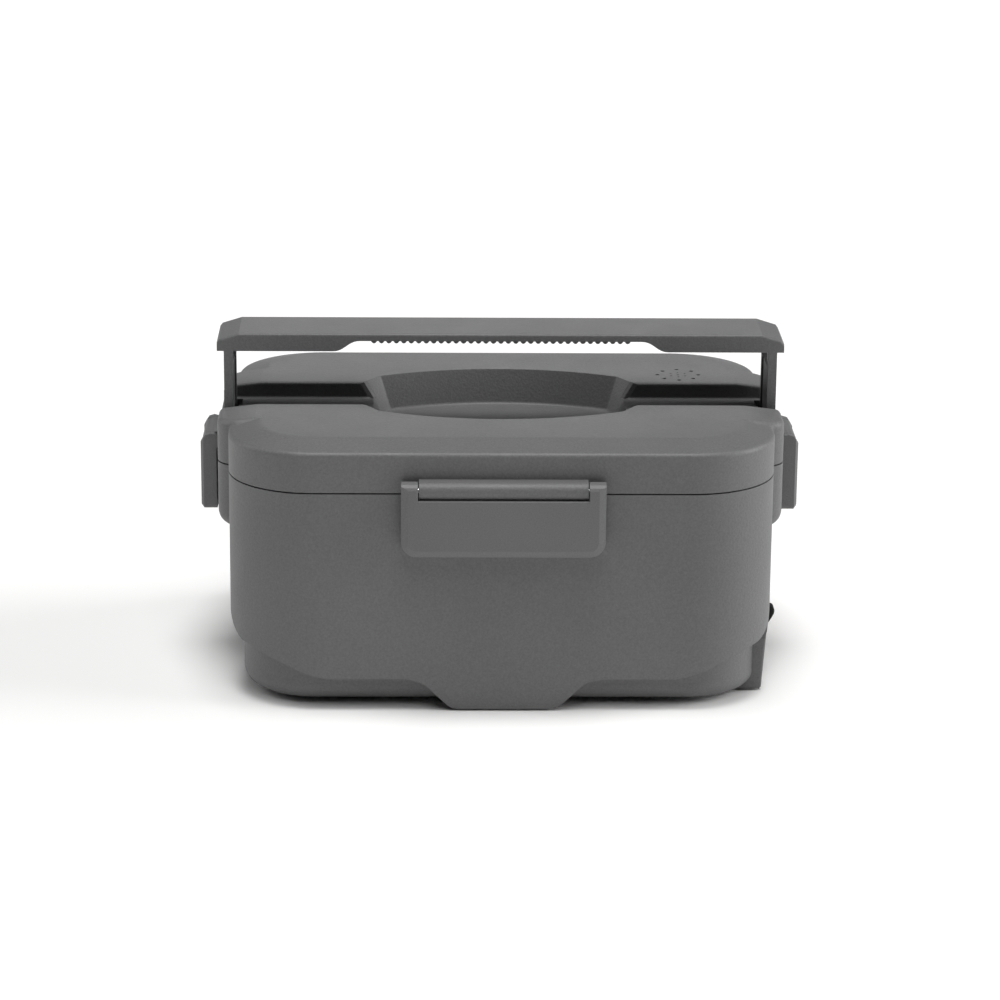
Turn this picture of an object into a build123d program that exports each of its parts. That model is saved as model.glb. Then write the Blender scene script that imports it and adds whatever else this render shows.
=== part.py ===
from build123d import *
import math
import os

os.makedirs("parts", exist_ok=True)

# Electric lunch box. Millimetres, +Z up, front towards -Y.
# Origin: centre of the footprint, on the surface the rubber feet stand on.

# ---------------------------------------------------------------- dimensions
HW, HD, CR = 113.6, 82.8, 36.0      # tub and lid half width, half depth, corner radius
TUB_TOP = 93.6                      # rim of the tub
LID_BOT = 94.2                      # lower edge of the lid shell
LID_TOP = 114.1                     # flat plateau of the lid
BAND_W, BAND_DROP = 13.5, 3.5       # sloped band round the plateau
BOSS_X, BOSS_Y, BOSS_R = 119.0, 42.4, 10.4   # side bosses in plan
BOSS_BOT = 65.5                     # underside of the side bosses on the tub
WALL = 2.4                          # moulded wall thickness

TUB_EDGE = 13.8                     # lower edge of the tub, front and back
SKIRT_IN = 5.5                      # how far the base cover stands in from the tub
SKIRT_BOT = 2.0
TONGUE_BOT = 0.7                    # front tongue and right apron clearance to the floor

CH_HALF, CH_FLOOR = 17.8, 107.0     # handle channel across the lid
REC_FLOOR = 99.5                    # floor of the oval finger recess
VENT_C, VENT_R = (78.5, 31.9), 8.9  # ring of steam holes

BAR_L, BAR_D = 119.8, 15.2          # handle bar half length, half depth
BAR_TOP, BAR_BOT = 143.9, 136.3     # handle bar, raised
BAR_MID = 140.8                     # underside of the thin grip
GRIP_PITCH, GRIP_N = 3.15, 34       # scallops under the grip
LEG_OUT, LEG_IN = 116.9, 113.1      # handle leg, outer and inner face
LEG_BOT = 99.5                      # foot of the raised leg
TRAVEL = 29.0                       # handle travel, raised to stowed

LATCH_Z = 96.4                      # latch hinge axis height
LATCH_W = 4.0                       # latch hinge axis, out from the wall
PIN_R = 1.25                        # latch pin radius
FRONT_LATCH = 41.7                  # half widths of the latches
SIDE_LATCH = 15.7
EAR = 6.9                           # ear width, front and rear latches
SIDE_EAR = 3.9

WELL_HW, WELL_HD, WELL_R = 107.2, 76.6, 30.0   # outside of the inner well
TRAY_HW, TRAY_HD, TRAY_R = 103.0, 72.4, 26.5   # outside of the steel tray
PLATE_TOP = 30.0                    # top of the heating plate

INLET_Y, INLET_Z = -15.0, 16.4      # centre of the power inlets on the right side
PANEL_TOP, PANEL_IN = 23.9, 108.6   # inlet panel: upper edge, inner face


# ---------------------------------------------------------------- helpers
def rr(hw, hd, r, z0, z1, cx=0.0, cy=0.0):
    return Pos(cx, cy, z0) * extrude(RectangleRounded(2 * hw, 2 * hd, r), z1 - z0)


def bx(x0, x1, y0, y1, z0, z1):
    return Pos((x0 + x1) / 2, (y0 + y1) / 2, (z0 + z1) / 2) * Box(x1 - x0, y1 - y0, z1 - z0)


def cz(r, x, y, z0, z1):
    return Pos(x, y, (z0 + z1) / 2) * Cylinder(r, z1 - z0)


def cx_(r, x0, x1, y, z):
    return Pos((x0 + x1) / 2, y, z) * Rot(0, 90, 0) * Cylinder(r, x1 - x0)


def prism_x(points, x0, x1):
    """solid between x0 and x1 whose section is the (y, z) polygon"""
    w = Polyline([(x0, y, z) for y, z in points], close=True)
    return extrude(make_face(w), amount=x1 - x0, dir=(1, 0, 0))


def prism_y(points, y0, y1):
    w = Polyline([(x, y0, z) for x, z in points], close=True)
    return extrude(make_face(w), amount=y1 - y0, dir=(0, 1, 0))


def prism_z(points, z0, z1):
    w = Polyline([(x, y, z0) for x, y in points], close=True)
    return extrude(make_face(w), amount=z1 - z0, dir=(0, 0, 1))


def soften(solid, edges, sizes, label=""):
    """fillet with the largest of the sizes that the shape takes"""
    edges = list(edges)
    if not edges:
        print("no edges:", label)
        return solid
    v0 = solid.volume
    for r in sizes:
        try:
            s = fillet(edges, r)
            if s.is_valid and abs(s.volume - v0) < 0.2 * v0 and len(s.solids()) == len(solid.solids()):
                return s
        except Exception:
            pass
    print("left sharp:", label)
    return solid


def near_z(solid, z, tol=0.01):
    return [e for e in solid.edges() if abs(e.bounding_box().min.Z - z) < tol and abs(e.bounding_box().max.Z - z) < tol]


def out(shape, name):
    s = shape if isinstance(shape, Compound) else Compound(shape.solids())
    sol = s.solids()
    body = sol[0] if len(sol) == 1 else Compound(sol)
    export_step(body, f"parts/{name}.step")
    return body


# ---------------------------------------------------------------- latches
# Each latch is drawn on the front wall: w is the distance out from the wall, towards -Y.
def w_prism(points, x0, x1, wall):
    return prism_x([(-wall - w, z) for w, z in points], x0, x1)


def latch_parts(half, ear, wall, rib_half, low, shoulder):
    # low: lower edge of the flap; shoulder: height where the outer face ends at the ears
    inner = half - ear - 0.3
    # knuckle on the lid, with its web to the lid wall
    knuckle = cx_(3.7, -inner, inner, -wall - LATCH_W, LATCH_Z)
    knuckle += w_prism([(-1.2, 94.8), (LATCH_W, 93.6), (LATCH_W, LATCH_Z + 3.5), (-1.2, LATCH_Z + 3.8)], -inner, inner, wall)
    knuckle -= cx_(PIN_R + 0.05, -inner - 5, inner + 5, -wall - LATCH_W, LATCH_Z)
    # flap: hollow plate with rounded lower corners
    flap = w_prism([(1.5, low), (8.3, low), (8.3, 93.1), (1.5, 93.1)], -half, half, wall)
    cr = 6.5 if half > 30 else 3.0
    cut = []
    for s in (-1, 1):
        c = bx(min(s * half, s * (half - cr)), max(s * half, s * (half - cr)), -wall - 9, -wall + 1, low - 0.1, low + cr)
        c -= Pos(s * (half - cr), -wall - 4, low + cr) * Rot(90, 0, 0) * Cylinder(cr, 30)
        cut.append(c)
    for c in cut:
        flap -= c
    # ears up to the hinge axis, cut back at their inner top corners
    for s in (-1, 1):
        x0, x1 = sorted((s * half, s * (half - ear)))
        e = w_prism([(1.5, 91.0), (8.3, 91.0), (8.3, shoulder), (7.6, shoulder + 1.2), (6.2, 99.6), (LATCH_W, 100.25), (2.4, 99.9), (0.9, 98.6), (0.25, LATCH_Z),
                     (0.6, 94.8), (1.5, 93.5)], x0, x1, wall)
        xi = s * (half - ear)
        e -= prism_y([(xi - s * 0.5, 99.2), (xi + s * 1.4, 101.6), (xi - s * 0.5, 101.6)], -wall - 12, -wall + 3)
        flap += e
    # wide bevel round the sides and the bottom of the face
    face = [f for f in flap.faces() if abs(f.center().Y + wall + 8.3) < 0.01 and f.bounding_box().size.Y < 0.01][0]
    bev = [e for e in face.edges() if abs(abs(e.center().X) - half) < 0.01 or e.center().Z < low + 0.1 + cr]
    wide = 2.8 if half > 30 else 1.6
    try:
        v0 = flap.volume
        bevelled = chamfer(bev, length=wide, length2=1.2, reference=face)
        assert bevelled.is_valid and bevelled.volume > 0.8 * v0
        flap = bevelled
    except Exception as ex:
        print("latch bevel left out", type(ex).__name__)
    flap = soften(flap, [e for e in flap.edges() if abs(e.center().Y + wall + 8.3) < 0.02 and e.bounding_box().size.Y < 0.02],
                  (1.6, 1.1, 0.8, 0.5, 0.3), "latch face")
    # room for the knuckle
    flap -= cx_(4.0, -inner - 0.29, inner + 0.29, -wall - LATCH_W, LATCH_Z)
    # hollow back, then the hook across it
    hollow = w_prism([(1.0, low + 2.5), (3.9, low + 2.5), (6.1, low + 5.1), (6.1, 90.2), (1.0, 90.2)], -half + 2.0, half - 2.0, wall)
    for s in (-1, 1):
        x0, x1 = sorted((s * (half - cr), s * (half - 1)))
        blk = bx(x0, x1, -wall - 9, -wall + 1, low - 0.1, low + cr)
        blk -= Pos(s * (half - cr), -wall - 4, low + cr) * Rot(90, 0, 0) * Cylinder(cr - 2.2, 30)
        hollow -= blk
    flap -= hollow
    flap += w_prism([(0.5, low + 7.5), (6.6, low + 5.9), (6.6, low + 10.5), (0.5, low + 10.5)], -rib_half, rib_half, wall)
    flap -= cx_(PIN_R, -half + 1.4, half - 1.4, -wall - LATCH_W, LATCH_Z)
    pin = cx_(PIN_R, -half + 1.4, half - 1.4, -wall - LATCH_W, LATCH_Z)
    rib = w_prism([(-0.8, low + 11.1), (1.1, low + 11.1), (1.4, low + 11.4), (1.4, low + 13.3), (-0.8, low + 15.5)], -rib_half - 0.5, rib_half + 0.5, wall)
    return knuckle, flap, pin, rib


kf, flap_f, pin_f, rib_f = latch_parts(FRONT_LATCH, EAR, HD, 29.0, 69.1, 97.4)
ks, flap_s, pin_s, rib_s = latch_parts(SIDE_LATCH, SIDE_EAR, BOSS_X, 9.0, 66.7, 96.3)
to_rear, to_right, to_left = Rot(0, 0, 180), Rot(0, 0, 90), Rot(0, 0, -90)


# ---------------------------------------------------------------- lid shell
def crown(inset, z0, top):
    s = rr(HW - inset, HD - inset, CR - inset, z0, top)
    face = s.faces().sort_by(Axis.Z)[-1]
    return chamfer(face.edges(), length=BAND_W, length2=BAND_DROP, reference=face)


def boss_plan(inset, z0, z1):
    s = rr(BOSS_X - inset, BOSS_Y - inset, BOSS_R - min(inset, 4), z0, z1)
    return s - bx(-96, 96, -60, 60, z0 - 1, z1 + 1)


main = crown(0, LID_BOT, LID_TOP)
main = soften(main, near_z(main, LID_TOP - BAND_DROP), (2.2, 1.6, 1.0), "lid shoulder")
main = soften(main, near_z(main, LID_TOP), (8.0, 5.0, 3.0), "plateau edge")

boss = boss_plan(0, LID_BOT, LID_TOP + 2)
for s in (-1, 1):
    wedge = prism_y([(s * 90, LID_TOP), (s * 103, LID_TOP), (s * 125, 111.5), (s * 125, 130), (s * 90, 130)], -60, 60)
    boss -= wedge
top_edges = [e for e in boss.edges() if e.center().Z > 108 and e.bounding_box().max.Z < LID_TOP - 0.3 and abs(e.center().X) > 108]
boss = soften(boss, top_edges, (3.0, 2.4, 1.8, 1.2), "boss top")

lid_outer = main + boss
lid_outer = soften(lid_outer, [e for e in lid_outer.edges() if abs(abs(e.center().Y) - 41.1) < 0.8 and abs(abs(e.center().X) - HW) < 0.3
                               and e.bounding_box().size.Z > 8], (1.2, 0.8, 0.4), "boss crease")


def recess_outline(z, cxx, cyy, mid, ex, ey):
    pts = [(-cxx, -cyy), (cxx, -cyy), (ex, -ey), (ex, ey), (cxx, cyy), (-cxx, cyy), (-ex, ey), (-ex, -ey)]
    p = [Vector(x, y, z) for x, y in pts]
    edges = [ThreePointArc(p[0], Vector(0, -mid, z), p[1]), Line(p[1], p[2]), Line(p[2], p[3]), Line(p[3], p[4]),
             ThreePointArc(p[4], Vector(0, mid, z), p[5]), Line(p[5], p[6]), Line(p[6], p[7]), Line(p[7], p[0])]
    return make_face(Wire(edges))


def recess(grow, floor, top):
    a = recess_outline(top, 51.6 + grow, 28.6 + grow, 41.3 + grow, 58.4 + grow, CH_HALF + 0.01)
    b = recess_outline(floor, 47.0 + grow, 25.4 + grow, 36.2 + grow, 50.0 + grow, CH_HALF - 0.9)
    return loft([a, b], ruled=True)


rec = recess(0, REC_FLOOR, LID_TOP + 0.4)
upright = [e for e in rec.edges() if e.bounding_box().size.Z > 10 and abs(e.center().Y) > 24]
rec = soften(rec, upright, (1.6, 1.0), "recess corners")
rec = soften(rec, near_z(rec, REC_FLOOR), (3.0, 2.4, 1.6, 1.0), "recess floor")
channel = bx(-130, 130, -CH_HALF, CH_HALF, CH_FLOOR, 130)
channel = soften(channel, [e for e in channel.edges() if abs(e.center().Z - CH_FLOOR) < 0.01 and e.bounding_box().size.X > 100],
                 (1.0, 0.6), "channel floor")

lid = lid_outer - channel - rec
# rounded corners where the channel walls turn into the recess
def turn_face(z, c, q, sx, sy):
    """plan of the corner cut at height z: c is the sharp corner, q the other end of the recess's slanted side"""
    f = Vector(q[0] - c[0], q[1] - c[1]).normalized()
    m = (f + Vector(1, 0)).normalized()
    c = Vector(*c)
    plan = [c - m * 1.5, c + Vector(2.3, 0), c + m * 0.6, c + f * 2.3]
    return make_face(Polyline([(sx * v.X, sy * v.Y, z) for v in plan], close=True))


for sx in (-1, 1):
    for sy in (-1, 1):
        lid -= loft([turn_face(106.8, (53.85, CH_HALF), (49.2, 27.0), sx, sy), turn_face(114.5, (58.4, CH_HALF), (51.6, 28.6), sx, sy)], ruled=True)
top_rim = [e for e in lid.edges() if e.bounding_box().min.Z > 110.5 and abs(e.center().X) < 118.9]
channel_rim = [e for e in top_rim if abs(abs(e.center().Y) - CH_HALF) < 0.3 and abs(e.center().X) > 60]
lid = soften(lid, channel_rim, (1.1, 0.8, 0.5), "channel rim")

# inside of the lid: open below, with the channel and recess troughs kept
cavity = crown(WALL, LID_BOT - 1, LID_TOP - 2.3)
cavity += boss_plan(2.0, LID_BOT - 1, 108.6) - bx(-130, 130, -24, 24, 90, 120)
trough = bx(-130, 130, -CH_HALF - 2.2, CH_HALF + 2.2, CH_FLOOR - 2.2, 130) + recess(2.2, REC_FLOOR - 2.2, LID_TOP + 0.4)
for s in (-1, 1):
    x0, x1 = sorted((s * 108.6, s * 120))
    trough += bx(x0, x1, -CH_HALF - 2.2, CH_HALF + 2.2, 101.6, 108)
cavity -= trough
LINER_SCREWS = [(sx * 92, sy * 50) for sx in (-1, 1) for sy in (-1, 1)] + [(0, -58), (0, 58)]
for x, y in LINER_SCREWS:
    cavity -= cz(3.4, x, y, 97.3, 120)
lid -= cavity
# slots for the handle legs: wide above, a narrow collar below
for s in (-1, 1):
    x0, x1 = sorted((s * 110.6, s * 117.4))
    lid -= bx(x0, x1, -15.8, 15.8, 104.4, 110)
    x0, x1 = sorted((s * 112.5, s * 117.4))
    lid -= bx(x0, x1, -15.8, 15.8, 100, 105)
    x0, x1 = sorted((s * 108.0, s * 117.4))
    lid -= bx(x0, x1, -15.8, 15.8, 90, 101.6)
for i in range(8):
    a = math.radians(45 * i)
    lid -= cz(0.95, VENT_C[0] + VENT_R * math.cos(a), VENT_C[1] + VENT_R * math.sin(a), 105, 120)
for dx, dy in [(0, 0)] + [(3.5 * math.cos(math.radians(30 + 60 * i)), 3.5 * math.sin(math.radians(30 + 60 * i))) for i in range(6)]:
    lid -= cz(0.5, VENT_C[0] + dx, VENT_C[1] + dy, 105, 120)
for x, y in LINER_SCREWS:
    lid -= cz(1.1, x, y, 96, 106.5 if abs(x) < 1 else 109)
lid += kf + (to_rear * kf) + (to_right * ks) + (to_left * ks)
out(lid, "lid_shell")

# ---------------------------------------------------------------- lid liner, gasket, screws, steam valve
liner = rr(108.0, 77.4, 30.8, 95.2, 97.2)
liner += rr(105.0, 74.4, 27.8, 92.6, 95.2) - rr(102.6, 72.0, 25.4, 92, 95.3)
for x, y in LINER_SCREWS:
    liner -= cz(1.7, x, y, 90, 100)
    liner -= cz(3.3, x, y, 94, 96.0)
liner -= cz(12.5, VENT_C[0], VENT_C[1], 90, 100)
out(liner, "lid_liner")
gasket = rr(105.0, 74.4, 27.8, 92.0, 92.6) - rr(102.6, 72.0, 25.4, 91, 93)
gasket += rr(107.4, 76.8, 30.2, 92.0, 95.2) - rr(105.0, 74.4, 27.8, 91, 96)
out(gasket, "lid_gasket")
screws = None
for x, y in LINER_SCREWS:
    s = cz(3.0, x, y, 94.6, 96.0) + cz(1.1, x, y, 96.0, 104.5)
    s -= bx(x - 1.8, x + 1.8, y - 0.35, y + 0.35, 94, 95.2)
    s -= bx(x - 0.35, x + 0.35, y - 1.8, y + 1.8, 94, 95.2)
    screws = s if screws is None else screws + s
out(screws, "lid_screws")
valve = cz(12.5, *VENT_C, 95.2, 97.2) - cz(10.6, *VENT_C, 95, 98)
valve += cz(14.0, *VENT_C, 97.2, 98.2) - cz(10.6, *VENT_C, 97, 99)
valve += cz(11.6, *VENT_C, 98.2, 109.4) - cz(10.6, *VENT_C, 98, 110)
valve += cz(10.6, *VENT_C, 96.0, 96.8) - bx(VENT_C[0] - 7, VENT_C[0] + 7, VENT_C[1] - 0.3, VENT_C[1] + 0.3, 95, 98) \
    - bx(VENT_C[0] - 0.3, VENT_C[0] + 0.3, VENT_C[1] - 7, VENT_C[1] + 7, 95, 98)
out(valve, "steam_valve")

# ---------------------------------------------------------------- handle
p = [(-BAR_L, BAR_BOT), (-BAR_L, 140.0), (-118.8, 141.3), (-110.5, BAR_TOP), (110.5, BAR_TOP), (118.8, 141.3), (BAR_L, 140.0), (BAR_L, BAR_BOT)]
up = [Line((p[i][0], -BAR_D, p[i][1]), (p[i + 1][0], -BAR_D, p[i + 1][1])) for i in range(7)]
yb = -BAR_D
low = [Line((BAR_L, yb, BAR_BOT), (71.0, yb, BAR_BOT)),
       Spline([(71.0, yb, BAR_BOT), (65.2, yb, (BAR_BOT + BAR_MID) / 2), (59.4, yb, BAR_MID)], tangents=[(-1, 0, 0), (-1, 0, 0)]),
       Line((59.4, yb, BAR_MID), (-59.4, yb, BAR_MID)),
       Spline([(-59.4, yb, BAR_MID), (-65.2, yb, (BAR_BOT + BAR_MID) / 2), (-71.0, yb, BAR_BOT)], tangents=[(-1, 0, 0), (-1, 0, 0)]),
       Line((-71.0, yb, BAR_BOT), (-BAR_L, yb, BAR_BOT))]
bar = extrude(make_face(Wire(up + low)), amount=2 * BAR_D, dir=(0, 1, 0))
rim = [e for e in bar.edges() if abs(abs(e.center().Y) - BAR_D) < 0.01 and e.center().Z > 139.5 and e.bounding_box().max.Z > 140.9 and
       not (abs(e.center().Z - BAR_MID) < 0.01)]
bar = soften(bar, [e for e in rim if abs(e.center().X) > 1 or e.center().Z > 143], (1.1, 0.8, 0.5), "bar top edges")
# grip ribs: a row of rounded lobes
tip = 1.2
teeth = []
x0 = -GRIP_PITCH * GRIP_N / 2
for i in range(GRIP_N + 1):
    xc = x0 + i * GRIP_PITCH
    lobe = [(-1.3, 0.4), (-1.3, 0.0), (-1.05, -0.55), (-0.6, -1.02), (0.0, -tip), (0.6, -1.02), (1.05, -0.55), (1.3, 0.0), (1.3, 0.4)]
    teeth.append(prism_y([(xc + dx, BAR_MID + dz) for dx, dz in lobe], -BAR_D + 0.8, BAR_D - 0.8))
bar = bar.fuse(*teeth)
legs = []
for s in (-1, 1):
    xa, xb = sorted((s * LEG_IN, s * LEG_OUT))
    leg = bx(xa, xb, -BAR_D, BAR_D, LEG_BOT, BAR_BOT + 0.5)
    win = bx(xa - 1, xb + 1, -11.6, 11.6, 127.9, BAR_BOT)
    win = soften(win, [e for e in win.edges() if abs(e.center().Z - 127.9) < 0.01 and e.bounding_box().size.X > 2], (2.5, 1.5), "leg window")
    leg -= win
    # thinner web between the front and rear flanges
    xi, xj = sorted((s * (LEG_IN - 0.1), s * (LEG_IN + 0.7)))
    leg -= bx(xi, xj, -12.0, 12.0, 104.0, 127.9)
    # catch at the foot that stops the handle from pulling out
    xi, xj = sorted((s * 111.3, s * LEG_IN))
    leg += bx(xi, xj, -11.0, 11.0, LEG_BOT, LEG_BOT + 1.8)
    legs.append(leg)
handle = bar + legs[0] + legs[1]
out(handle, "handle")

# ---------------------------------------------------------------- tub housing
tub = rr(HW, HD, CR, TUB_EDGE, TUB_TOP)
# the sides curve in at the bottom, and the lower edge falls away towards the middle: trim with a section drawn across the width
SIDE_CURVE = [(113.8, 37.5), (113.3, 32.5), (112.5, 30.3), (111.3, 28.2), (109.9, 26.7), (108.2, 25.6), (104.5, 24.65), (99.6, 23.1), (92.3, 20.55),
              (84.5, 17.4), (78.0, 15.1), (72.0, 13.7), (66.0, 13.0)]
INNER_CURVE = [(112.2, 37.5), (111.8, 33.2), (111.1, 31.2), (110.1, 29.4), (109.0, 28.1), (107.6, 27.1), (104.1, 26.1), (99.2, 24.6), (91.8, 22.1), (84.0, 19.0)]


def across(curve, low):
    right = [Vector(x, -100, z) for x, z in curve]
    left = [Vector(-x, -100, z) for x, z in curve]
    top_r, top_l = Vector(curve[0][0], -100, 120), Vector(-curve[0][0], -100, 120)
    low_r, low_l = Vector(curve[-1][0], -100, low), Vector(-curve[-1][0], -100, low)
    w = Wire([Line(top_r, right[0]), Spline(right), Line(right[-1], low_r), Line(low_r, low_l), Line(low_l, left[-1]),
              Spline(left[::-1]), Line(left[0], top_l), Line(top_l, top_r)])
    return extrude(make_face(w), amount=200, dir=(0, 1, 0))


trim = across(SIDE_CURVE, 10.0)
trim_in = across(INNER_CURVE, 12.0)
tub = tub & trim
# side bosses with their undersides curved back to the wall
tboss = boss_plan(0, BOSS_BOT, TUB_TOP)
tboss = soften(tboss, [e for e in near_z(tboss, BOSS_BOT) if abs(e.center().X) > 97], (7.0, 6.0, 5.0, 4.0), "boss underside")
tub += tboss
tub = soften(tub, [e for e in tub.edges() if abs(abs(e.center().Y) - 41.1) < 1.2 and abs(abs(e.center().X) - HW) < 0.3
                   and e.bounding_box().size.Z > 8], (1.2, 0.8, 0.4), "tub boss crease")
# front and rear tongues that reach down towards the floor; the left slope stands a little nearer the middle than the right
TONGUE = [(41.0, 20), (41.0, TUB_EDGE), (38.2, 13.0), (35.6, 12.2), (33.2, 10.6), (25.6, 3.4), (24.0, 2.0), (22.0, 1.1), (19.0, TONGUE_BOT),
          (-17.0, TONGUE_BOT), (-20.0, 1.1), (-22.0, 2.0), (-23.6, 3.4), (-31.2, 10.6), (-33.6, 12.2), (-36.2, 13.0), (-39.0, TUB_EDGE), (-39.0, 20)]
for s in (-1, 1):
    y0, y1 = sorted((s * HD, s * (HD - 4.9)))
    t = prism_y([(-s * x, z) for x, z in TONGUE], y0, y1)
    tub += t
# right-hand apron, where the power inlets are
apron = prism_y([(106.0, TONGUE_BOT), (109.4, TONGUE_BOT), (110.2, 1.5), (111.9, 26.0), (HW - 0.1, 33.5), (106.0, 33.5)], -57.5, 57.5)
apron = soften(apron, [e for e in apron.edges() if e.bounding_box().size.Y < 0.01 and e.center().X > 109 and e.center().Z < 28
                       and e.bounding_box().size.Z > 0.3], (0.8, 0.4), "apron edge")
apron = apron & rr(HW, HD, CR, 0, 60)
tub += apron
# hollow: room for the base cover below, for the well above
tub -= rr(HW - SKIRT_IN + 0.3, HD - SKIRT_IN + 0.3, CR - SKIRT_IN + 0.3, -5, 24.0)
tub -= rr(HW - WALL, HD - WALL, CR - WALL, 24.0, 100) & trim_in
# ledge that carries the well flange, and the walls of the leg pockets
tub += rr(HW - WALL + 0.2, HD - WALL + 0.2, CR - WALL + 0.2, 86.6, 89.0) - rr(107.6, 77.0, 30.4, 80, 95)
for s in (-1, 1):
    x0, x1 = sorted((s * 109.2, s * 117.0))
    tub += bx(x0, x1, -17.6, 17.6, 67.4, TUB_TOP)
for s in (-1, 1):
    x0, x1 = sorted((s * 110.9, s * 117.5))
    tub -= bx(x0, x1, -16.0, 16.0, 69.2, 100)
    # hollow the rest of each boss from above
    for t in (-1, 1):
        y0, y1 = sorted((t * 18.0, t * 36.0))
        xx0, xx1 = sorted((s * 113.4, s * 116.8))
        tub -= bx(xx0, xx1, y0, y1, 75.0, 92.0)
tub += rib_f + (to_rear * rib_f) + (to_right * rib_s) + (to_left * rib_s)
# screw posts for the base cover
POSTS = [(sx * 88, sy * 58) for sx in (-1, 1) for sy in (-1, 1)] + [(-40, -68), (40, 68)]
for x, y in POSTS:
    tub += cz(3.6, x, y, 8.0, 25.4)
    # arm over the base cover's wall to the tub wall
    if abs(x) < 60:
        y0, y1 = sorted((y, math.copysign(81.0, y)))
        tub += bx(x - 4, x + 4, y0, y1, 24.0, 25.4)
    else:
        x0, x1 = sorted((x, math.copysign(105.0, x)))
        tub += bx(x0, x1, y - 4, y + 4, 24.0, 25.4) & trim
    tub -= cz(1.1, x, y, 0, 22.0)
# the apron below the tub's own edge is a separate panel, which carries the inlets
tub -= bx(104.5, 116, -57.7, 57.7, 0, PANEL_TOP + 0.1)
out(tub, "tub_housing")
print("tub solids", len(tub.solids()))

# ---------------------------------------------------------------- inlet panel
IY, IZ = INLET_Y, INLET_Z
CV_Z0, CV_Z1, CV_Y0, CV_Y1 = IZ - 8.2, IZ + 6.4, IY - 22.0, IY + 22.0   # inlet cover outline
CV_X0, CV_X1 = 110.2, 111.5                                             # its inner and outer faces
panel = (apron & bx(100, 116, -57.5, 57.5, 0, PANEL_TOP)) - rr(PANEL_IN, HD - SKIRT_IN + 0.3, CR - SKIRT_IN + 0.3, -5, 30)
panel += bx(105.8, 109.5, -57.3, 57.3, 2.0, 4.4)
for y0, y1 in ((-57.5, -55.7), (55.7, 57.5)):
    panel += bx(97.0, 109.5, y0, y1, TONGUE_BOT, PANEL_TOP)
PSCR = [(102.5, -46.0), (102.5, 46.0)]
for x, y in PSCR:
    panel += bx(98.6, 109.0, y - 6, y + 6, 4.5, 13.0)
    panel -= cz(1.1, x, y, 0, 12.4)
for y in (22.0, 30.0):
    panel += bx(101.6, 109.0, y - 0.6, y + 0.6, IZ - 2, IZ + 2)
panel -= bx(CV_X0 - 0.2, 116, CV_Y0 - 0.3, CV_Y1 + 0.3, CV_Z0 - 0.3, CV_Z1 + 0.3)
panel -= bx(104, 114, IY - 18.2, IY - 1.8, IZ - 5.2, IZ + 5.2)
panel -= cx_(5.0, 104, 114, IY + 11.0, IZ)
panel -= cx_(2.7, 104, 114, 26.0, IZ)
out(panel, "inlet_panel")
print("panel solids", len(panel.solids()))
pscrews = None
for x, y in PSCR:
    q = cz(2.9, x, y, 2.1, 3.2) + cz(1.1, x, y, 3.2, 12.0)
    q -= bx(x - 1.8, x + 1.8, y - 0.35, y + 0.35, 2, 2.8)
    q -= bx(x - 0.35, x + 0.35, y - 1.8, y + 1.8, 2, 2.8)
    pscrews = q if pscrews is None else pscrews + q
out(pscrews, "panel_screws")

# ---------------------------------------------------------------- base cover, feet, screws
SW, SD, SR = HW - SKIRT_IN, HD - SKIRT_IN, CR - SKIRT_IN
cover = rr(SW, SD, SR, SKIRT_BOT, 27.0)
cover = soften(cover, near_z(cover, SKIRT_BOT), (7.2, 6.0, 5.0), "skirt bottom")
for s in (-1, 1):
    cover -= prism_y([(s * 70, 23.4), (s * 100, 23.4), (s * 104.5, 24.25), (s * 110, 25.2), (s * 110, 30), (s * 70, 30)], -100, 100)
cover -= bx(-70.1, 70.1, -100, 100, 23.4, 30)
cover -= rr(SW - 2.2, SD - 2.2, SR - 2.2, SKIRT_BOT + 2.4, 30)
cover -= bx(100, 115, -57.9, 57.9, SKIRT_BOT + 2.4, 30)
cover -= bx(105.6, 115, -57.9, 57.9, 0, 30)
for y0, y1 in ((-57.9, -55.3), (55.3, 57.9)):
    cover -= bx(96.6, 112, y0, y1, 0, 30)
for x, y in POSTS:
    cover += cz(3.6, x, y, SKIRT_BOT + 2.4, 7.9)
    cover -= cz(1.5, x, y, 0, 9)
    cover -= cz(3.2, x, y, 0, 5.2)
for x, y in PSCR:
    cover -= cz(1.5, x, y, 0, 6)
    cover -= cz(3.2, x, y, 0, 3.2)
FEET = [(sx * 76, sy * 54) for sx in (-1, 1) for sy in (-1, 1)]
for x, y in FEET:
    cover -= cz(8.1, x, y, 0, SKIRT_BOT + 0.8)
BOARD = (-50.0, -30.0, -28.0, 24.0)
BSCR = [(-84 + 2, -24), (-84 + 2, 20), (-34, -24), (-34, 20)]
for x, y in BSCR:
    cover += cz(2.6, x, y, SKIRT_BOT + 2.4, 8.0)
    cover -= cz(0.8, x, y, 3.4, 9)
out(cover, "base_cover")
print("cover solids", len(cover.solids()))
feet = None
for x, y in FEET:
    f = cz(8.0, x, y, 0.0, SKIRT_BOT + 0.8)
    f = soften(f, near_z(f, 0.0), (0.8, 0.5), "foot")
    feet = f if feet is None else feet + f
out(feet, "rubber_feet")
bs = None
for x, y in POSTS:
    s = cz(2.9, x, y, 3.6, 5.2) + cz(1.1, x, y, 5.2, 18.0)
    s -= bx(x - 1.8, x + 1.8, y - 0.35, y + 0.35, 3, 4.4)
    s -= bx(x - 0.35, x + 0.35, y - 1.8, y + 1.8, 3, 4.4)
    bs = s if bs is None else bs + s
out(bs, "base_screws")

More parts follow.
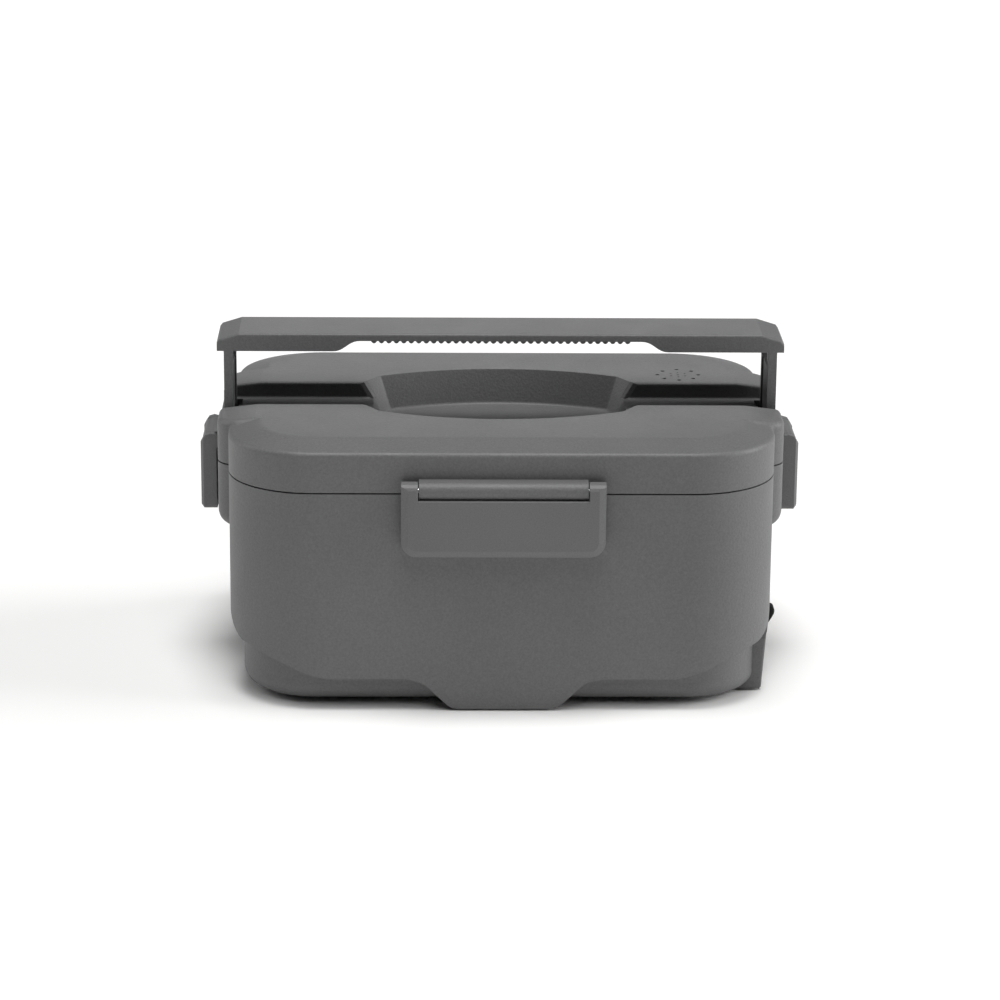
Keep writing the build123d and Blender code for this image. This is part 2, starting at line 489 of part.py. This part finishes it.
# ---------------------------------------------------------------- well, gasket, heating plate and heater
well = rr(WELL_HW, WELL_HD, WELL_R, 26.0, 90.8)
well = soften(well, near_z(well, 26.0), (6.0, 4.0), "well bottom")
well += rr(108.8, 79.6, 32.8, 89.6, 90.8)
inner = rr(WELL_HW - 1.8, WELL_HD - 1.8, WELL_R - 1.8, 28.0, 95)
inner = soften(inner, near_z(inner, 28.0), (4.2, 3.0), "well inside bottom")
well -= inner
PL_HW, PL_HD = 62.0, 40.0
well -= rr(PL_HW + 0.8, PL_HD + 0.8, 8.8, 20, 29)
out(well, "inner_well")
wg = rr(108.8, 79.6, 32.8, 89.0, 89.6) - rr(107.7, 77.1, 30.5, 88, 90)
out(wg, "well_gasket")
plate = rr(PL_HW, PL_HD, 8.0, 27.0, PLATE_TOP)
plate += rr(PL_HW + 4, PL_HD + 4, 12.0, 24.4, 25.4)
plate += rr(PL_HW - 4, PL_HD - 4, 6.0, 25.0, 27.5)
plate += rr(PL_HW, PL_HD, 8.0, 25.4, 27.5)
CLAMP_SCREWS = [(sx * 48, sy * 22) for sx in (-1, 1) for sy in (-1, 1)]
for x, y in CLAMP_SCREWS:
    plate -= cz(1.2, x, y, 20, 28.4)
out(plate, "heating_plate")
seal = rr(PL_HW + 4, PL_HD + 4, 12.0, 25.4, 26.0) - rr(PL_HW, PL_HD, 8.0, 25, 27)
seal += rr(PL_HW + 0.8, PL_HD + 0.8, 8.8, 26.0, 28.2) - rr(PL_HW, PL_HD, 8.0, 25, 29)
out(seal, "plate_seal")
ptc = bx(-38, 38, -20, -6, 20.4, 24.4) + bx(-38, 38, 6, 20, 20.4, 24.4)
ptc = soften(ptc, [e for e in ptc.edges() if e.bounding_box().size.X > 50], (0.8,), "ptc")
out(ptc, "ptc_heaters")
mica = bx(-40, 40, -21, 21, 19.8, 20.4)
out(mica, "insulating_sheet")
clamp = bx(-40, 40, -21, 21, 18.6, 19.8)
for s in (-1, 1):
    x0, x1 = sorted((s * 40, s * 42))
    clamp += bx(x0, x1, -21, 21, 18.6, 24.4)
    x0, x1 = sorted((s * 42, s * 53))
    clamp += bx(x0, x1, -27, 27, 23.2, 24.4)
for x, y in CLAMP_SCREWS:
    clamp -= cz(1.7, x, y, 20, 26)
out(clamp, "heater_clamp")
cs = None
for x, y in CLAMP_SCREWS:
    s = cz(2.8, x, y, 21.6, 23.2) + cz(1.2, x, y, 23.2, 28.2)
    s -= bx(x - 1.7, x + 1.7, y - 0.35, y + 0.35, 21, 22.4)
    s -= bx(x - 0.35, x + 0.35, y - 1.7, y + 1.7, 21, 22.4)
    cs = s if cs is None else cs + s
out(cs, "clamp_screws")
# thermostat and thermal fuse under the plate, between and beside the heaters
th = cz(6.6, 0, 31.0, 17.4, 24.4)
th += bx(6.4, 12.0, 29.4, 32.6, 18.0, 18.8)
th += bx(-12.0, -6.4, 29.4, 32.6, 18.0, 18.8)
out(th, "thermostat")
fuse = cx_(2.0, -8, 8, -31.0, 22.4) + cx_(0.5, -14, 14, -31.0, 22.4)
out(fuse, "thermal_fuse")

# ---------------------------------------------------------------- control board
board = bx(-86, -30, -28, 24, 8.0, 9.6)
for x, y in BSCR:
    board -= cz(1.0, x, y, 7, 11)
out(board, "control_board")
bscrews = None
for x, y in BSCR:
    s = cz(0.8, x, y, 4.0, 9.6) + cz(1.7, x, y, 9.6, 10.8)
    bscrews = s if bscrews is None else bscrews + s
out(bscrews, "board_screws")
comp = [bx(-78, -60, -18, -3, 9.6, 16.8), cz(4.0, -48, -17, 9.6, 19.0), cz(4.0, -48, -5, 9.6, 19.0), bx(-78, -66, 3, 16, 9.6, 13.6),
        bx(-60, -48, 6, 18, 9.6, 11.2), bx(-40, -33, -16, 12, 9.6, 16.0)]
c = comp[0]
for k in comp[1:]:
    c += k
out(c, "board_parts")

# ---------------------------------------------------------------- power inlets on the right apron
ac = bx(90.0, PANEL_IN, IY - 19.6, IY - 0.4, IZ - 6.4, IZ + 6.4) + bx(PANEL_IN, 110.0, IY - 18.0, IY - 2.0, IZ - 5.0, IZ + 5.0)
mouth = Pos(110.0, IY - 10, IZ) * Rot(0, 90, 0) * extrude(RectangleRounded(6.6, 12.2, 3.2), -13.0)
ac -= mouth
ac -= cx_(0.95, 88, 100, IY - 14.3, IZ) + cx_(0.95, 88, 100, IY - 5.7, IZ)
out(ac, "mains_inlet")
pins = None
for dy in (-14.3, -5.7):
    s = cx_(0.95, 84.0, 107.0, IY + dy, IZ)
    pins = s if pins is None else pins + s
out(pins, "mains_pins")
dc = bx(94.0, PANEL_IN, IY + 5.2, IY + 16.8, IZ - 5.6, IZ + 5.6) + cx_(4.8, PANEL_IN, 110.0, IY + 11.0, IZ)
dc -= cx_(2.8, 98.0, 112, IY + 11.0, IZ)
dc -= cx_(1.0, 90.0, 99, IY + 11.0, IZ)
out(dc, "dc_socket")
out(cx_(1.0, 90.0, 107.0, IY + 11.0, IZ), "dc_pin")
lens = cx_(2.6, 108.0, 111.8, 26.0, IZ) + cx_(3.4, 107.4, PANEL_IN, 26.0, IZ)
lens = soften(lens, [e for e in lens.edges() if abs(e.center().X - 111.8) < 0.01], (0.8, 0.5), "lens")
out(lens, "indicator_lens")
led = cx_(1.5, 103.0, 107.2, 26.0, IZ) + bx(101.6, 103.2, 22.6, 29.4, IZ - 4, IZ + 4)
out(led, "indicator_led")

# ---------------------------------------------------------------- silicone cover over the inlets
flap = bx(CV_X0, CV_X1, CV_Y0, CV_Y1, CV_Z0, CV_Z1)
flap = soften(flap, [e for e in flap.edges() if abs(e.center().Y - CV_Y0) < 0.01 and e.bounding_box().size.X > 1], (3.0, 2.0), "cover corners")
flap = soften(flap, [e for e in flap.edges() if abs(e.center().Y - CV_Y1) < 0.01 and e.bounding_box().size.Z > 10], (0.64, 0.6), "cover bend")
flap = soften(flap, [e for e in flap.edges() if abs(e.center().X - CV_X1) < 0.01 and e.center().Y < CV_Y1 - 1.0], (0.4, 0.3), "cover face")
# plugs that seat in the two inlets
flap += Pos(CV_X0 - 2.7, IY - 10, IZ) * Rot(0, 90, 0) * extrude(RectangleRounded(5.0, 10.4, 2.4), 2.8)
flap += cx_(2.15, CV_X0 - 2.3, CV_X0 + 0.1, IY + 11.0, IZ)
# finger lip: thin at its root, thick and rounded at its free end
lip = [(111.2, 17.8), (113.0, 20.0), (115.0, 22.4), (116.5, 24.9), (117.3, 26.9), (117.1, 28.4), (116.0, 29.2),
       (114.8, 28.7), (114.2, 27.2), (113.5, 25.0), (112.2, 23.4), (111.2, 22.6)]
lipw = Spline([Vector(x, -34.5, z) for x, z in lip])
lipf = make_face(Wire([lipw, Line(lipw @ 1, lipw @ 0)]))
lips = extrude(lipf, amount=7.0, dir=(0, 1, 0))
lips = soften(lips, [e for e in lips.edges() if e.bounding_box().size.Y < 0.01 and e.bounding_box().size.X > 3], (0.9, 0.6, 0.3), "lip ends")
flap += lips
out(flap, "inlet_cover")
print("inlet cover solids", len(flap.solids()))

# ---------------------------------------------------------------- tray and its lid
T0 = PLATE_TOP + 0.3
tray = rr(TRAY_HW, TRAY_HD, TRAY_R, T0, 86.0)
tray = soften(tray, near_z(tray, T0), (9.0, 7.0, 5.0), "tray bottom")
tray += rr(TRAY_HW + 1.6, TRAY_HD + 1.6, TRAY_R + 1.6, 85.2, 86.0)
ti = rr(TRAY_HW - 0.8, TRAY_HD - 0.8, TRAY_R - 0.8, T0 + 0.8, 95)
ti = soften(ti, near_z(ti, T0 + 0.8), (8.2, 6.2, 4.2), "tray inside bottom")
tray -= ti
out(tray, "steel_tray")
tl = rr(TRAY_HW + 1.4, TRAY_HD + 1.4, TRAY_R + 1.4, 87.0, 88.4)
tl += rr(TRAY_HW - 4.6, TRAY_HD - 4.6, TRAY_R - 4.6, 84.6, 87.0) - rr(TRAY_HW - 6.2, TRAY_HD - 6.2, TRAY_R - 6.2, 84, 87.0)
tl -= rr(TRAY_HW - 14, TRAY_HD - 14, TRAY_R - 12, 87.8, 90)
tl += rr(14, 5, 4.9, 87.4, 90.2)
tl -= cz(1.5, 70, 0, 80, 95)
out(tl, "tray_lid")
tg = rr(TRAY_HW + 1.4, TRAY_HD + 1.4, TRAY_R + 1.4, 86.2, 87.0) - rr(TRAY_HW - 4.6, TRAY_HD - 4.6, TRAY_R - 4.6, 86, 88)
tg += rr(TRAY_HW - 2.6, TRAY_HD - 2.6, TRAY_R - 2.6, 84.8, 86.2) - rr(TRAY_HW - 4.6, TRAY_HD - 4.6, TRAY_R - 4.6, 84, 88)
out(tg, "tray_lid_seal")

# ---------------------------------------------------------------- latches in place
out(flap_f, "latch_front")
out(to_rear * flap_f, "latch_rear")
out(to_right * flap_s, "latch_right")
out(to_left * flap_s, "latch_left")
out(pin_f, "pin_front")
out(to_rear * pin_f, "pin_rear")
out(to_right * pin_s, "pin_right")
out(to_left * pin_s, "pin_left")


# ---------------------------------------------------------------- internal leads
def lead(points, r):
    """round lead along straight runs joined by tangent arcs"""
    pts = [Vector(*q) for q in points]
    runs = [(pts[i + 1] - pts[i]).length for i in range(len(pts) - 1)]
    radii = []
    for i in range(1, len(pts) - 1):
        turn = math.radians((pts[i] - pts[i - 1]).get_angle(pts[i + 1] - pts[i]))
        radii.append(0.45 * min(runs[i - 1], runs[i]) / math.tan(turn / 2))
    path = FilletPolyline(*pts, radius=radii)
    start = Plane(origin=pts[0], z_dir=(pts[1] - pts[0]))
    s = sweep(start * Circle(r), path=path)
    print("lead radii", [round(q, 1) for q in radii], "volume ratio", round(s.volume / (math.pi * r * r * path.length), 4))
    return s


ml = lead([(84.0, IY - 14.3, IZ), (76, IY - 14.3, IZ), (66, -34, 14.0), (52, -44, 9.6), (30, -50, 7.4), (6, -48, 7.2), (-10, -38, 8.8),
          (-17, -24, 12.0), (-24, -13.4, 14.2), (-33, -13.4, 14.2)], 0.9)
ml2 = lead([(84.0, IY - 5.7, IZ), (76, IY - 5.7, IZ), (65, -25, 14.0), (50, -35, 9.2), (29, -41, 7.0), (8, -39.5, 6.8), (-6, -30, 8.6),
            (-14, -17, 12.0), (-22, -8.6, 13.8), (-33, -8.6, 13.8)], 0.9)
out(ml + ml2, "mains_leads")
dl = lead([(90.0, IY + 11.0, IZ), (80, -4, IZ), (68, 1, 13.6), (52, 8, 9.2), (30, 14, 7.0), (8, 16, 7.2), (-10, 13, 9.6), (-21, 8.0, 11.6),
           (-33, 8.0, 11.6)], 0.8)
out(dl, "dc_lead")
h1 = lead([(-33, 2.0, 14.2), (-26, 2.0, 14.2), (-22, 6.0, 14.0), (-20, 14, 13.8), (-20.5, 23, 14.6), (-20.0, 31.0, 18.4), (-12.0, 31.0, 18.4)], 0.8)
h2 = lead([(12.0, 31.0, 18.4), (18.0, 31.0, 18.4), (24.0, 31.0, 20.4), (30.0, 29.0, 22.4), (30.0, 20.0, 22.4)], 0.8)
h3 = lead([(14.0, -31.0, 22.4), (21.0, -31.0, 22.4), (27.0, -29.0, 22.4), (30.0, -26.0, 22.4), (30.0, -20.0, 22.4)], 0.8)
h4 = lead([(-33, -3.0, 15.1), (-28, -3.0, 15.1), (-23.5, -6.0, 16.6), (-21, -13, 17.2), (-21.5, -22.5, 17.2), (-22.5, -27.5, 20.0), (-22, -31.0, 22.4),
           (-14.0, -31.0, 22.4)], 0.8)
out(h1 + h2 + h3 + h4, "heater_leads")
print("done")
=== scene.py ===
import math
import bpy
import bmesh
from mathutils import Matrix, Vector

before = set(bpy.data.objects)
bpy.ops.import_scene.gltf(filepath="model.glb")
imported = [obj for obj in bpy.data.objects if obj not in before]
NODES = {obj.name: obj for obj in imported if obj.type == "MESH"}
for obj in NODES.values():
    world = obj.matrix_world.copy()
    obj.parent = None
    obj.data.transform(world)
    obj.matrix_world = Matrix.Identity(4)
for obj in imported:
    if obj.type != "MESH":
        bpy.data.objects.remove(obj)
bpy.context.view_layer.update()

scene = bpy.context.scene


# ------------------------------------------------------------------ camera
def make_camera():
    cam = bpy.data.cameras.new("camera")
    cam.sensor_width = 36.0
    cam.sensor_fit = "HORIZONTAL"
    cam.lens = 127.512
    cam.clip_start, cam.clip_end = 0.05, 30.0
    yaw, pitch, roll = math.radians(1.31), math.radians(16.84), math.radians(0.51)
    fwd = Vector((math.sin(yaw) * math.cos(pitch), math.cos(yaw) * math.cos(pitch), -math.sin(pitch)))
    right = Vector((math.cos(yaw), -math.sin(yaw), 0.0))
    up = right.cross(fwd)
    r2 = right * math.cos(roll) + up * math.sin(roll)
    u2 = -right * math.sin(roll) + up * math.cos(roll)
    o = bpy.data.objects.new("camera", cam)
    o.matrix_world = Matrix.Translation((-0.03296, -1.46422, 0.50967)) @ Matrix((r2, u2, -fwd)).transposed().to_4x4()
    scene.collection.objects.link(o)
    scene.camera = o


make_camera()


# ------------------------------------------------------------------ materials
class Mat:
    """small helper round a material's node tree"""

    def __init__(self, name):
        self.m = bpy.data.materials.new(name)
        self.m.use_nodes = True
        self.t = self.m.node_tree
        self.t.nodes.clear()
        self.out = self.t.nodes.new("ShaderNodeOutputMaterial")
        self.b = self.t.nodes.new("ShaderNodeBsdfPrincipled")
        self.t.links.new(self.b.outputs[0], self.out.inputs[0])
        self.co = self.t.nodes.new("ShaderNodeTexCoord").outputs["Object"]

    def node(self, kind, **props):
        n = self.t.nodes.new(kind)
        for k, v in props.items():
            setattr(n, k, v)
        return n

    def link(self, a, b):
        self.t.links.new(a, b)

    def mapped(self, scale, rot=(0, 0, 0), loc=(0, 0, 0)):
        n = self.node("ShaderNodeMapping")
        n.inputs["Scale"].default_value = scale
        n.inputs["Rotation"].default_value = rot
        n.inputs["Location"].default_value = loc
        self.link(self.co, n.inputs["Vector"])
        return n.outputs[0]

    def noise(self, scale, detail=2.0, rough=0.5, vec=None):
        n = self.node("ShaderNodeTexNoise")
        n.inputs["Scale"].default_value = scale
        n.inputs["Detail"].default_value = detail
        n.inputs["Roughness"].default_value = rough
        self.link(vec or self.co, n.inputs["Vector"])
        return n.outputs["Fac"]

    def voronoi(self, scale, vec=None, feature="F1"):
        n = self.node("ShaderNodeTexVoronoi", feature=feature)
        n.inputs["Scale"].default_value = scale
        self.link(vec or self.co, n.inputs["Vector"])
        return n.outputs["Distance"]

    def ramp(self, fac, stops):
        n = self.node("ShaderNodeValToRGB")
        e = n.color_ramp.elements
        while len(e) < len(stops):
            e.new(0.5)
        for el, (p, c) in zip(e, stops):
            el.position = p
            el.color = (c, c, c, 1) if isinstance(c, (int, float)) else (*c, 1)
        self.link(fac, n.inputs[0])
        return n.outputs[0]

    def span(self, fac, a, b, lo=0.3, hi=0.7):
        n = self.node("ShaderNodeMapRange")
        n.inputs["From Min"].default_value = lo
        n.inputs["From Max"].default_value = hi
        n.inputs["To Min"].default_value = a
        n.inputs["To Max"].default_value = b
        self.link(fac, n.inputs["Value"])
        return n.outputs[0]

    def add(self, a, b, ka=1.0, kb=1.0):
        x = self.node("ShaderNodeMath", operation="MULTIPLY")
        x.inputs[1].default_value = ka
        self.link(a, x.inputs[0])
        y = self.node("ShaderNodeMath", operation="MULTIPLY_ADD")
        y.inputs[1].default_value = kb
        self.link(b, y.inputs[0])
        self.link(x.outputs[0], y.inputs[2])
        return y.outputs[0]

    def bump(self, height, dist, strength=1.0, under=None):
        n = self.node("ShaderNodeBump")
        n.inputs["Strength"].default_value = strength
        n.inputs["Distance"].default_value = dist
        self.link(height, n.inputs["Height"])
        if under is not None:
            self.link(under, n.inputs["Normal"])
        return n.outputs[0]

    def soft_edges(self, radius):
        n = self.node("ShaderNodeBevel", samples=6)
        n.inputs["Radius"].default_value = radius
        return n.outputs[0]

    def normal(self, n):
        self.link(n, self.b.inputs["Normal"])

    def colour(self, c):
        self.link(c, self.b.inputs["Base Color"])

    def rough(self, r):
        self.link(r, self.b.inputs["Roughness"])


def tint(base, k):
    return tuple(max(0.0, min(1.0, c * k)) for c in base)


def moulded(name, base, rough=0.5, spark=0.00014, cell=1300.0, edge=0.0004, spec=0.5, vary=0.16, seed=0.0):
    """matt moulded plastic with a spark-eroded texture"""
    m = Mat(name)
    off = m.mapped((1, 1, 1), loc=(seed, seed * 0.7, seed * 0.3))
    broad = m.noise(14.0, 3.0, 0.5, off)
    fine = m.noise(cell, 2.0, 0.6, off)
    pits = m.voronoi(cell * 0.55, off)
    m.colour(m.ramp(m.add(broad, fine, 0.3, 0.7), [(0.3, tint(base, 1 - vary)), (0.7, tint(base, 1 + vary))]))
    m.rough(m.span(m.noise(45.0, 3.0, 0.55, off), rough - 0.035, rough + 0.035))
    m.b.inputs["Specular IOR Level"].default_value = spec
    relief = m.add(fine, pits, 0.6, 0.4)
    m.normal(m.bump(relief, spark, 1.0, under=m.soft_edges(edge) if edge else None))
    return m.m


GREY = (0.135, 0.135, 0.137)
body_mat = moulded("body_plastic", GREY, rough=0.52, seed=0.1)
lid_mat = moulded("lid_plastic", GREY, rough=0.52, seed=1.3)
handle_mat = moulded("handle_plastic", GREY, rough=0.5, seed=2.2)
latch_mat = moulded("latch_plastic", GREY, rough=0.5, spark=0.00006, seed=3.7, cell=1900.0)


def silicone(name, base, rough=0.6):
    m = Mat(name)
    dust = m.noise(900.0, 3.0, 0.65)
    m.colour(m.ramp(dust, [(0.45, base), (0.8, tuple(min(1, c + 0.004) for c in base))]))
    m.rough(m.span(m.noise(120.0, 2.0), rough - 0.06, rough + 0.06))
    m.b.inputs["Specular IOR Level"].default_value = 0.25
    m.normal(m.bump(m.noise(1500.0, 2.0), 0.00004, 1.0, under=m.soft_edges(0.0003)))
    return m.m


cover_mat = silicone("black_silicone", (0.006, 0.006, 0.0065))
foot_mat = silicone("foot_rubber", (0.028, 0.028, 0.029), 0.7)
seal_mat = silicone("seal_silicone", (0.62, 0.62, 0.60), 0.5)


def metal(name, base, rough, axis=0, streak=900.0, spread=0.06):
    m = Mat(name)
    s = [streak, streak, streak]
    s[axis] = streak / 60.0
    lines = m.noise(1.0, 3.0, 0.6, m.mapped(tuple(s)))
    m.colour(m.ramp(lines, [(0.3, tint(base, 0.94)), (0.7, tint(base, 1.04))]))
    m.rough(m.span(lines, rough - spread, rough + spread))
    m.b.inputs["Metallic"].default_value = 1.0
    m.normal(m.bump(lines, 0.000015, 1.0))
    return m.m


steel_mat = metal("stainless", (0.62, 0.61, 0.59), 0.3)
pin_mat = metal("pin_steel", (0.5, 0.5, 0.5), 0.25, streak=1500.0)
screw_mat = metal("screw_steel", (0.55, 0.55, 0.56), 0.3, streak=1500.0)
alu_mat = metal("plate_aluminium", (0.65, 0.65, 0.66), 0.42, streak=500.0)
brass_mat = metal("contact_brass", (0.7, 0.55, 0.25), 0.3, streak=1500.0)
liner_mat = moulded("liner_plastic", (0.62, 0.62, 0.61), rough=0.4, spark=0.00001, vary=0.02, seed=5.0)
inner_mat = moulded("inner_black_plastic", (0.02, 0.02, 0.02), rough=0.45, seed=6.0)
board_mat = moulded("board_green", (0.02, 0.14, 0.05), rough=0.3, spark=0.00001, vary=0.12, seed=7.0)
ceramic_mat = moulded("ptc_ceramic", (0.35, 0.33, 0.30), rough=0.7, vary=0.12, seed=8.0)
mica_mat = moulded("mica_sheet", (0.5, 0.42, 0.28), rough=0.35, vary=0.15, seed=9.0)
lead_mat = moulded("lead_insulation", (0.25, 0.03, 0.03), rough=0.35, spark=0.00001, vary=0.06, seed=10.0)
lens_mat = moulded("lens_plastic", (0.75, 0.10, 0.05), rough=0.15, spark=0.000004, vary=0.04, seed=11.0)

LOOK = {
    "tub_housing": body_mat, "base_cover": body_mat, "inlet_panel": body_mat, "lid_shell": lid_mat, "handle": handle_mat,
    "latch_front": latch_mat, "latch_rear": latch_mat, "latch_left": latch_mat, "latch_right": latch_mat,
    "inlet_cover": cover_mat, "rubber_feet": foot_mat,
    "lid_gasket": seal_mat, "tray_lid_seal": seal_mat, "well_gasket": seal_mat, "plate_seal": seal_mat,
    "lid_liner": liner_mat, "inner_well": liner_mat, "tray_lid": liner_mat, "steam_valve": liner_mat,
    "steel_tray": steel_mat, "heater_clamp": steel_mat, "heating_plate": alu_mat, "thermostat": alu_mat, "thermal_fuse": alu_mat,
    "pin_front": pin_mat, "pin_rear": pin_mat, "pin_left": pin_mat, "pin_right": pin_mat,
    "base_screws": screw_mat, "lid_screws": screw_mat, "clamp_screws": screw_mat, "board_screws": screw_mat, "panel_screws": screw_mat,
    "ptc_heaters": ceramic_mat, "insulating_sheet": mica_mat, "control_board": board_mat,
    "board_parts": inner_mat, "indicator_led": inner_mat, "mains_inlet": inner_mat, "dc_socket": inner_mat,
    "mains_pins": brass_mat, "dc_pin": brass_mat, "mains_leads": lead_mat, "dc_lead": lead_mat, "heater_leads": lead_mat,
    "indicator_lens": lens_mat,
}
for name, obj in NODES.items():
    obj.data.materials.clear()
    obj.data.materials.append(LOOK.get(name, inner_mat))


# ------------------------------------------------------------------ floor, world and lights
def make_stage():
    me = bpy.data.meshes.new("floor")
    me.from_pydata([(-6, -3, 0), (6, -3, 0), (6, 9, 0), (-6, 9, 0)], [], [(0, 1, 2, 3)])
    floor = bpy.data.objects.new("floor", me)
    scene.collection.objects.link(floor)
    m = Mat("floor_white")
    m.colour(m.ramp(m.noise(3.0, 2.0), [(0.3, (0.935, 0.932, 0.925)), (0.7, (0.945, 0.942, 0.935))]))
    m.b.inputs["Roughness"].default_value = 0.9
    m.b.inputs["Specular IOR Level"].default_value = 0.1
    me.materials.append(m.m)


def sun(name, az, el, angle, strength, colour=(1.0, 1.0, 1.0)):
    """broad soft light: az is the bearing from the front towards the right, el the height, both in degrees"""
    light = bpy.data.lights.new(name, "SUN")
    light.energy = strength
    light.color = colour
    light.angle = math.radians(angle)
    a, e = math.radians(az), math.radians(el)
    towards = Vector((math.sin(a) * math.cos(e), -math.cos(a) * math.cos(e), math.sin(e)))
    o = bpy.data.objects.new(name, light)
    o.rotation_euler = towards.to_track_quat("Z", "Y").to_euler()
    scene.collection.objects.link(o)


make_stage()
world = bpy.data.worlds.new("studio")
scene.world = world
world.use_nodes = True
bg = world.node_tree.nodes["Background"]
bg.inputs[0].default_value = (1.0, 1.0, 1.0, 1.0)
bg.inputs[1].default_value = 0.02
SUNS = [("front_high", 5, 62, 30, 0.18), ("overhead", 0, 87, 25, 0.64), ("right_side", 92, 22, 40, 0.69), ("left_back", -110, 28, 45, 0.22),
        ("rear_low", 180, 14, 24, 0.046)]
for name, az, el, angle, power in SUNS:
    sun(name, az, el, angle, power * 3.1416)
scene.view_settings.view_transform = "Standard"
scene.view_settings.look = "None"
scene.view_settings.exposure = 0.0
scene.view_settings.gamma = 1.0
scene.cycles.use_denoising = True
